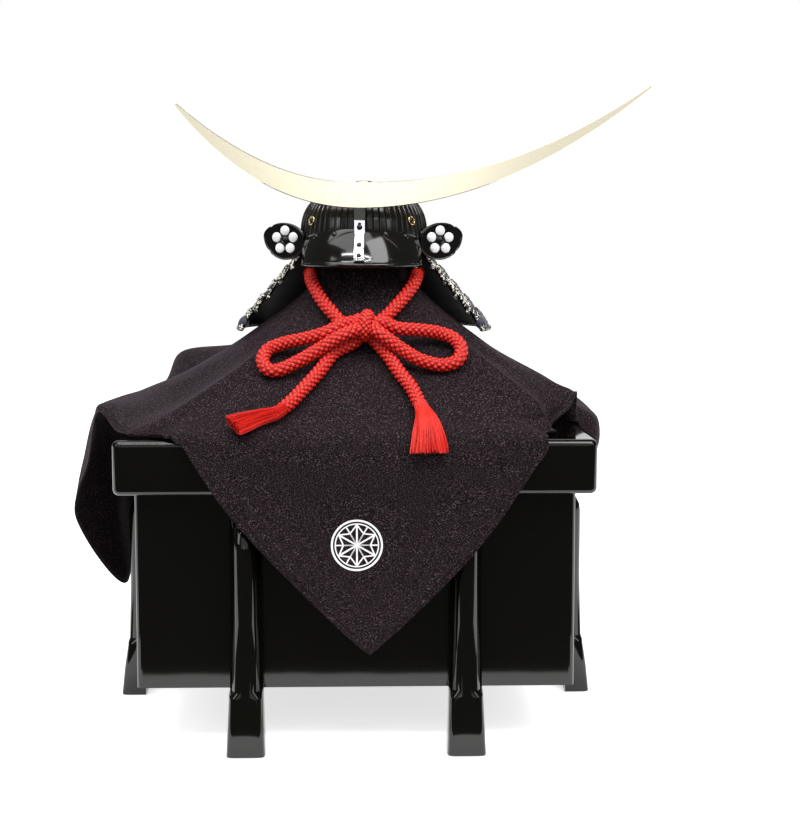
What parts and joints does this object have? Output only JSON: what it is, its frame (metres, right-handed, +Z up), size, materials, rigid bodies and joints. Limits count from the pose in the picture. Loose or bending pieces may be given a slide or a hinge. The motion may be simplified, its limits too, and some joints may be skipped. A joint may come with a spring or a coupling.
{
  "type": "samurai helmet on a draped display box",
  "caption": "Miniature samurai helmet with a lopsided crescent crest, laced neck guard and a red chin cord tied in a bow, on a dark cloth over a black footed box.",
  "frame": {"origin": "on the floor, under the middle of the whole object's bounding box without the cord", "axes": "+Z up, -Y out of the front of the box, +X to the right as seen from the front"},
  "size_m": [0.3156, 0.2536, 0.3392],
  "materials": {
    "black_lacquer": "black gloss lacquer",
    "lacquered_iron": "black satin lacquer",
    "gloss_plate": "black gloss lacquer",
    "bright_metal": "polished",
    "pale_gold": "polished pale gold plate",
    "silver_white": "silver-white satin",
    "laced_lames": "black lacquer with black and navy lacing",
    "crepe_cloth": "dark aubergine crepe",
    "red_cord": "braided silk",
    "plain_wood": "plain"
  },
  "bodies": {
    "root": {"box_body": "black_lacquer", "box_lid": "black_lacquer", "leg_front_left": "black_lacquer", "leg_front_right": "black_lacquer", "leg_right": "black_lacquer", "leg_back_right": "black_lacquer", "leg_back_left": "black_lacquer", "leg_left": "black_lacquer", "bowl": "lacquered_iron", "crest_holder": "lacquered_iron", "peak": "gloss_plate", "turnback_left": "gloss_plate", "turnback_right": "gloss_plate", "peak_strip": "bright_metal", "crescent_crest": "pale_gold", "crown_ring": "pale_gold", "blossom_left": "silver_white", "blossom_right": "silver_white", "neck_lame_1": "laced_lames", "neck_lame_2": "laced_lames", "neck_lame_3": "laced_lames", "neck_lame_4": "laced_lames", "neck_lame_5": "laced_lames", "drape_cloth": "crepe_cloth", "chin_cord": "red_cord", "bow_knot": "red_cord", "bow_loop_left": "red_cord", "bow_loop_right": "red_cord", "bow_end_left": "red_cord", "bow_end_right": "red_cord", "tassel_left": "red_cord", "tassel_right": "red_cord", "helmet_post": "plain_wood"}
  },
  "joints": []
}
